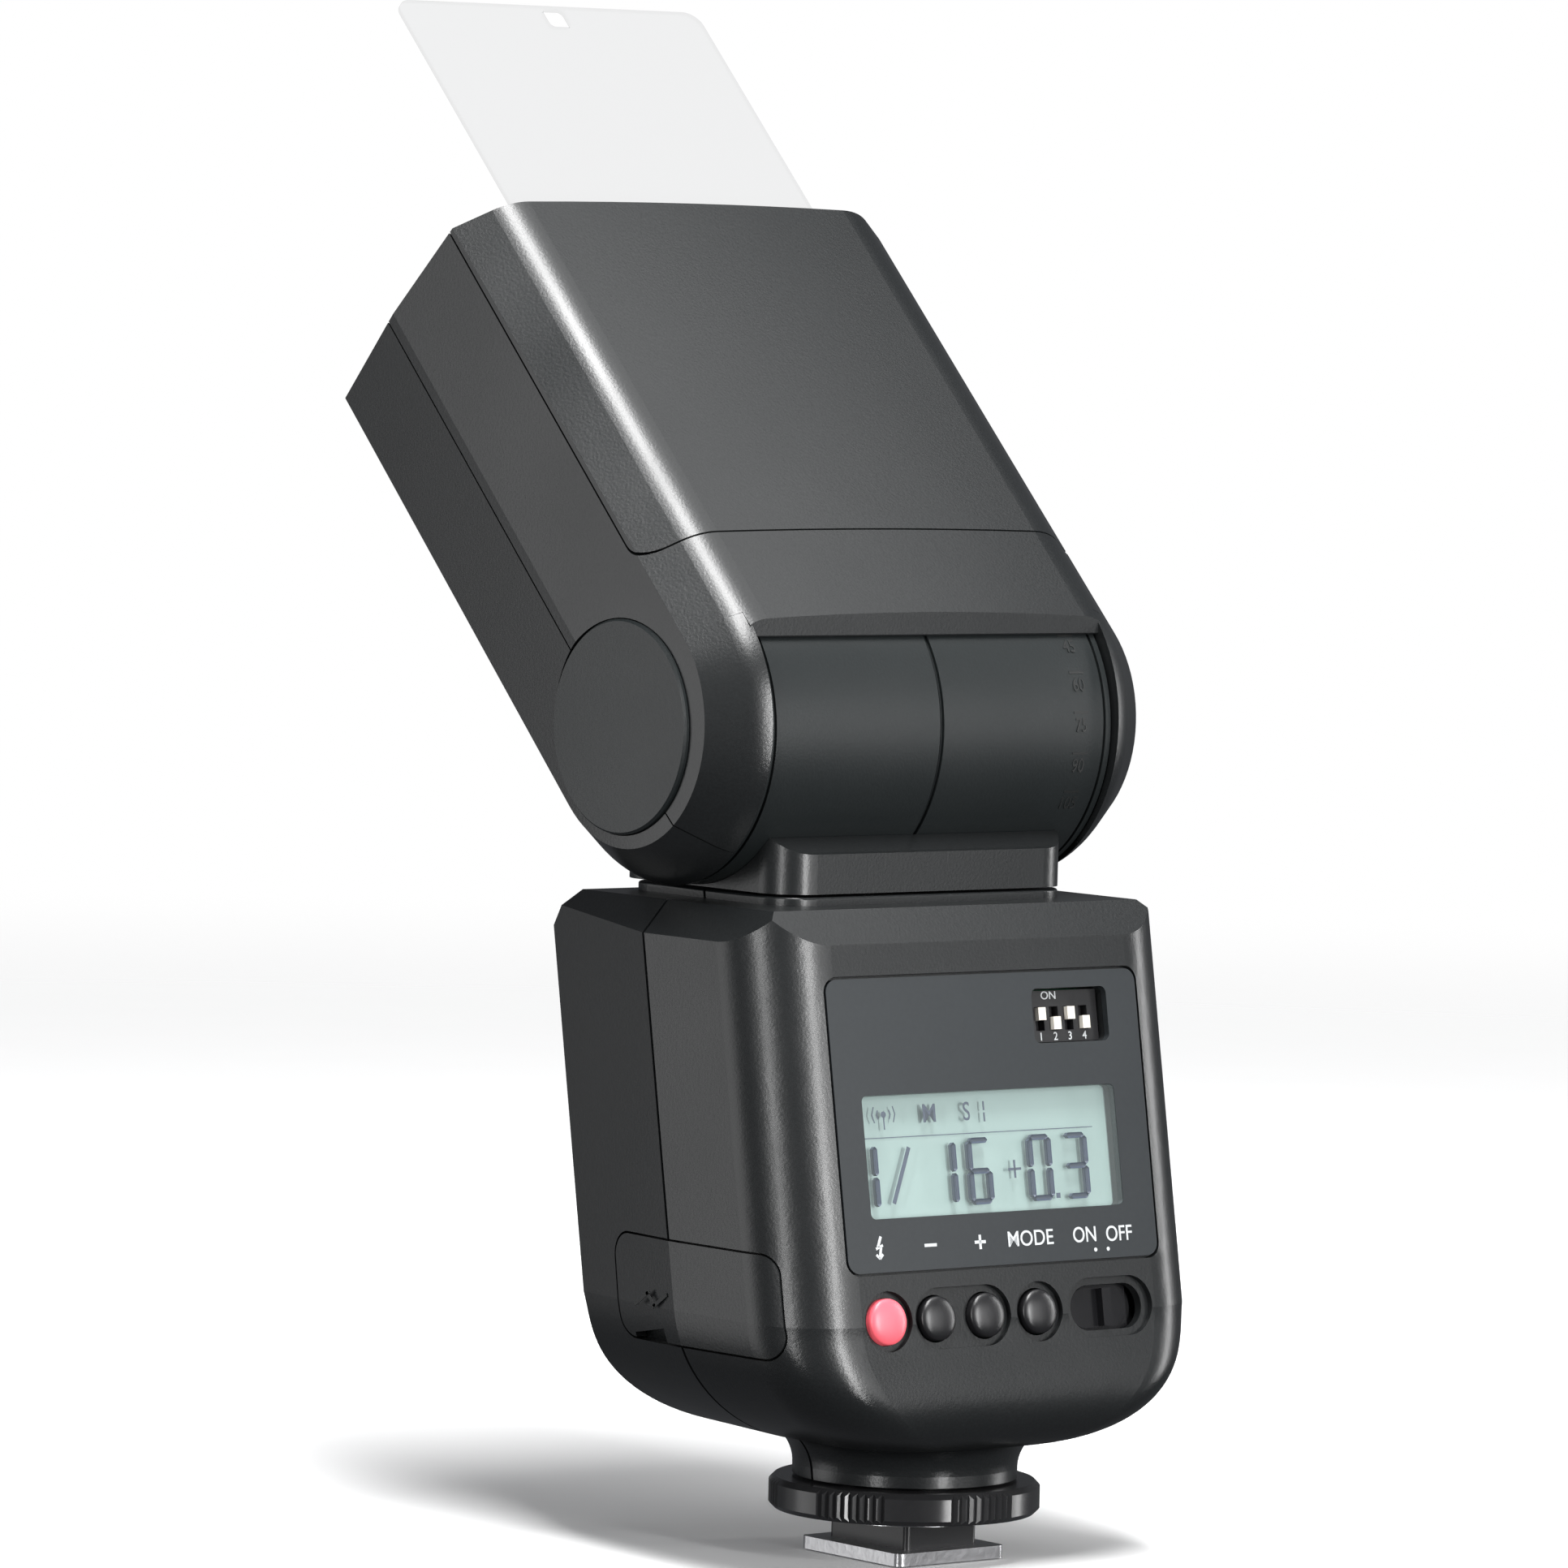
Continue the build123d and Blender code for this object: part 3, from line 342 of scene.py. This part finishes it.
def sign_marks():
    """The minus and plus signs over their buttons."""
    sign_v = LABEL_V - 0.1
    minus_x, plus_x, arm = -12.6, -4.1, 1.9
    return [
        bar(minus_x, sign_v, PRINT_DEPTH, 2.1, LABEL_STROKE),
        bar(plus_x, sign_v, PRINT_DEPTH, arm, LABEL_STROKE),
        bar(plus_x, sign_v, PRINT_DEPTH, LABEL_STROKE, arm),
    ]


def word_marks():
    """The words over the mode button and the power switch, and the switch's two dots."""
    dot_v, dot_r = LABEL_V - 2.1, 0.27
    return [
        letters("MODE", LABEL_TALL, 4.6, LABEL_V - 0.1, PRINT_DEPTH, 0.98),
        letters("ON", LABEL_TALL, 14.1, LABEL_V - 0.1, PRINT_DEPTH, 0.92),
        letters("OFF", LABEL_TALL, 20.1, LABEL_V - 0.2, PRINT_DEPTH, 0.92),
        dot(15.8, dot_v, PRINT_DEPTH, dot_r),
        dot(18.0, dot_v, PRINT_DEPTH, dot_r),
    ]


def bolt_marks():
    """The bolt over the test button: three strokes and the two barbs of its point."""
    strokes = [
        (-21.25, 0.75, 1.5, LABEL_STROKE, 66), (-21.3, 0.05, 1.3, 0.36, 20), (-21.2, -0.75, 1.5, LABEL_STROKE, 78),
        (-21.62, -1.2, 0.8, 0.34, -45), (-21.05, -1.2, 0.8, 0.34, 45),
    ]
    return [
        bar(x, LABEL_V + rise, PRINT_DEPTH, length, width, turn=radians(turn))
        for x, rise, length, width, turn in strokes
    ]


def dip_marks():
    """The small word and the numbers of the four ways, moulded on the switch block."""
    reach = 2.75
    word = letters("ON", 1.5, DIP_X - 2.0, DIP_V + reach, DIP_PRINT_DEPTH, 1.15)
    numbers = [
        letters(str(way + 1), 1.55, DIP_X + DIP_PITCH * (way - 1.5), DIP_V - reach, DIP_PRINT_DEPTH)
        for way in range(4)
    ]
    return [word] + numbers


panel_marks = sign_marks() + word_marks() + bolt_marks()
named(settle(join(panel_marks), PANEL), "panel_printing", print_white, "body")
named(settle(join(dip_marks()), PANEL), "dip_switch_printing", print_white, "body")


# ---------------------------------------------------------------- display
SEGMENTS = {"0": "abcdef", "1": "bc", "3": "abcdg", "6": "acdefg"}


def digit(figure, x, y, height, z):
    """A seven-segment figure of mitred bars, with a small gap between them."""
    width, stroke, gap = height * 0.40, height * 0.092, 0.22
    half = height / 4
    places = {
        "a": (0, 2 * half, width, 0), "g": (0, 0, width, 0), "d": (0, -2 * half, width, 0),
        "f": (-width / 2, half, height / 2, pi / 2), "b": (width / 2, half, height / 2, pi / 2),
        "e": (-width / 2, -half, height / 2, pi / 2), "c": (width / 2, -half, height / 2, pi / 2),
    }
    return [
        bar(x + dx, y + dy, z, length - gap, stroke, turn=turn, mitre=stroke * 0.46)
        for dx, dy, length, turn in (places[key] for key in SEGMENTS[figure])
    ]


def screen_figures(z):
    """Everything the display shows, at one depth behind the panel's face."""
    figure_v, head_v = SCREEN_V - 2.5, SCREEN_V + 5.35
    figure_tall, head_tall = 8.1, 3.5
    one_x, plus_x, mast_x, mast_top = -0.6, 3.9, -17.8, head_v + 0.25
    pieces = [
        bar(SCREEN_X - 1.4, SCREEN_V + 2.55, z, 39.6, 0.11),
        letters("M", head_tall, -10.0, head_v, z, 0.95),
        letters("S", head_tall, -3.6, head_v, z, 0.80),
        bar(one_x, head_v + 0.75, z, 1.2, 0.26, turn=pi / 2),
        bar(one_x, head_v - 0.75, z, 1.2, 0.26, turn=pi / 2),
        dot(mast_x, mast_top, z, 0.42),
        bar(mast_x, head_v - 0.8, z, 1.9, 0.20, turn=pi / 2),
        bar(-15.6, figure_v, z, 8.0, 0.62, turn=radians(66)),
        bar(plus_x, figure_v, z, 2.2, 0.34),
        bar(plus_x, figure_v, z, 0.34, 2.4),
        bar(11.1, figure_v - 3.85, z, 0.7, 0.7),
    ]
    for side in (-1, 1):
        for reach, tall in ((1.15, 1.2), (1.95, 2.1)):
            for half in (-1, 1):
                wave_x = mast_x + side * (reach - 0.08 * tall)
                wave_v = mast_top + half * tall * 0.25
                turn = pi / 2 + radians(18 * half * side)
                pieces.append(bar(wave_x, wave_v, z, tall * 0.53, 0.16, turn=turn))
    for figure, x in (("1", -21.6), ("1", -8.2), ("6", -2.2), ("0", 8.3), ("3", 14.6)):
        pieces += digit(figure, x, figure_v, figure_tall, z)
    return join(pieces)


named(settle(screen_figures(FIGURE_DEPTH), PANEL), "display_figures", screen_ink, "body")
# Painted shadow: a faint copy of the figures on the reflector, where their shadows fall.
named(settle(screen_figures(PAINTED_SHADOW_DEPTH), PANEL), "display_figure_painted_shadows", figure_painted_shadow, "body")

# ---------------------------------------------------------------- tilt scale on the barrel
scale_marks = []
for value in range(0, 120, 15):
    place = barrel_frame(radians(SCALE_ZERO - value))
    tick = bar(SCALE_X, 0.95, 0.0, 2.6, 0.38, thick=SCALE_PRINT)
    scale_marks.append(settle(tick, place))
    figure = letters(str(value), 2.7, SCALE_X, -0.85, 0.0, 0.8, thick=SCALE_PRINT)
    scale_marks.append(settle(figure, place))
named(join(scale_marks), "tilt_scale", scale_dark, "swivel")

# ---------------------------------------------------------------- bolt mark on the port cover
cover_bolt = [
    bar(along, v, 0.0, length, 0.5, thick=0.1, turn=radians(turn))
    for along, v, length, turn in ((-32.4, -19.6, 3.6, 24), (-30.6, -19.9, 2.6, -52), (-28.8, -20.3, 3.6, 24))
]
named(settle(join(cover_bolt), FLANK), "port_cover_mark", scale_dark, "port")


# ---------------------------------------------------------------- room, light and camera
def sheet_of_room(name, size, place, turn, finish):
    deselect()
    bpy.ops.mesh.primitive_plane_add(size=size, location=place, rotation=turn)
    sheet = bpy.context.object
    bpy.ops.object.transform_apply(location=True, rotation=True, scale=True)
    sheet.name = name
    sheet.data.materials.append(finish)
    return sheet


FLOOR_WIDE, FADE_START, FADE_END = 3.0, 0.30, 1.20
room_white = grained("room_white", (0.93, 0.93, 0.93), 0.8, grain=40.0, depth=0.01, tint=0.01)
floor_nodes, floor_links = room_white.node_tree.nodes, room_white.node_tree.links
floor_place = floor_nodes.new("ShaderNodeTexCoord")
reach = floor_nodes.new("ShaderNodeVectorMath")
reach.operation = "LENGTH"
fade = floor_nodes.new("ShaderNodeMapRange")
fade.interpolation_type = "SMOOTHSTEP"
fade.inputs["From Min"].default_value = FADE_START
fade.inputs["From Max"].default_value = FADE_END
fade.inputs["To Min"].default_value = 1.0
fade.inputs["To Max"].default_value = 0.0
floor_links.new(floor_place.outputs["Object"], reach.inputs[0])
floor_links.new(reach.outputs["Value"], fade.inputs["Value"])
floor_links.new(fade.outputs["Result"], floor_nodes["Principled BSDF"].inputs["Alpha"])
floor = sheet_of_room("floor", FLOOR_WIDE, (0, 0, -0.0002), (0, 0, 0), room_white)
floor.visible_diffuse = False
floor.visible_glossy = False


def soft_box(name, place, target, wide, high, power):
    """A rectangular soft light that faces a point."""
    deselect()
    bpy.ops.object.light_add(type="AREA", location=place)
    lamp = bpy.context.object
    lamp.name = name
    lamp.data.shape = "RECTANGLE"
    lamp.data.size = wide
    lamp.data.size_y = high
    lamp.data.energy = power
    lamp.visible_camera = False
    lamp.rotation_euler = (Vector(target) - Vector(place)).to_track_quat("-Z", "Y").to_euler()


# The far lamps aim at the flash's middle; the near sheens are weak and put soft gradients on its black faces.
MIDDLE = (0, 0.02, 0.11)
soft_box("top_box", (-0.12, -0.28, 1.28), MIDDLE, wide=0.30, high=0.9, power=27)
soft_box("rear_strip", (0.0, -1.8, 0.16), MIDDLE, wide=0.18, high=1.6, power=42)
soft_box("left_strip", (-1.55, -0.64, 0.25), MIDDLE, wide=0.16, high=1.4, power=16)
soft_box("right_strip", (1.6, -0.5, 0.35), MIDDLE, wide=0.20, high=1.3, power=12)
soft_box("rear_sheen", (0.28, -0.68, 0.15), (0, -0.02, 0.08), wide=0.38, high=0.40, power=1.2)
soft_box("crown_sheen", (0.16, -0.04, 0.66), (0, 0.03, 0.14), wide=0.30, high=0.50, power=1.0)
soft_box("left_sheen", (-0.42, 0.34, 0.10), (-0.04, 0.02, 0.10), wide=0.24, high=0.60, power=0.70)
soft_box("left_card", (-1.15, 1.4, 0.15), MIDDLE, wide=1.2, high=1.2, power=1.3)

world = bpy.data.worlds.new("room")
bpy.context.scene.world = world
world.use_nodes = True
air, air_links = world.node_tree.nodes, world.node_tree.links
dim_air = air["Background"]
dim_air.inputs["Color"].default_value = (0.9, 0.93, 1.0, 1)
dim_air.inputs["Strength"].default_value = 0.10
white_paper = air.new("ShaderNodeBackground")
white_paper.inputs["Color"].default_value = (1, 1, 1, 1)
white_paper.inputs["Strength"].default_value = 1.0
seen = air.new("ShaderNodeLightPath")
either = air.new("ShaderNodeMixShader")
air_links.new(seen.outputs["Is Camera Ray"], either.inputs["Fac"])
air_links.new(dim_air.outputs["Background"], either.inputs[1])
air_links.new(white_paper.outputs["Background"], either.inputs[2])
air_links.new(either.outputs["Shader"], air["World Output"].inputs["Surface"])
bpy.context.scene.view_settings.view_transform = "Standard"

# The camera's turn about the flash, its rise and roll, and its place along its own right, up and back.
TURN, RISE, ROLL = radians(38.932), radians(3.463), radians(1.498)
CAMERA_RIGHT, CAMERA_UP, CAMERA_BACK = -15.868, 103.037, 1221.829
back = Vector((-sin(TURN) * cos(RISE), -cos(TURN) * cos(RISE), sin(RISE)))
level = (-back).cross(Vector((0, 0, 1))).normalized()
above = level.cross(-back)
right = level * cos(ROLL) + above * sin(ROLL)
up = above * cos(ROLL) - level * sin(ROLL)
deselect()
bpy.ops.object.camera_add()
camera = bpy.context.object
camera_at = (right * CAMERA_RIGHT + up * CAMERA_UP + back * CAMERA_BACK) * MM
camera.matrix_world = Matrix.Translation(camera_at) @ Matrix((right, up, back)).transposed().to_4x4()
camera.data.sensor_width = 36
camera.data.lens = 209.2
camera.data.clip_start = 0.01
camera.data.clip_end = 30
bpy.context.scene.camera = camera
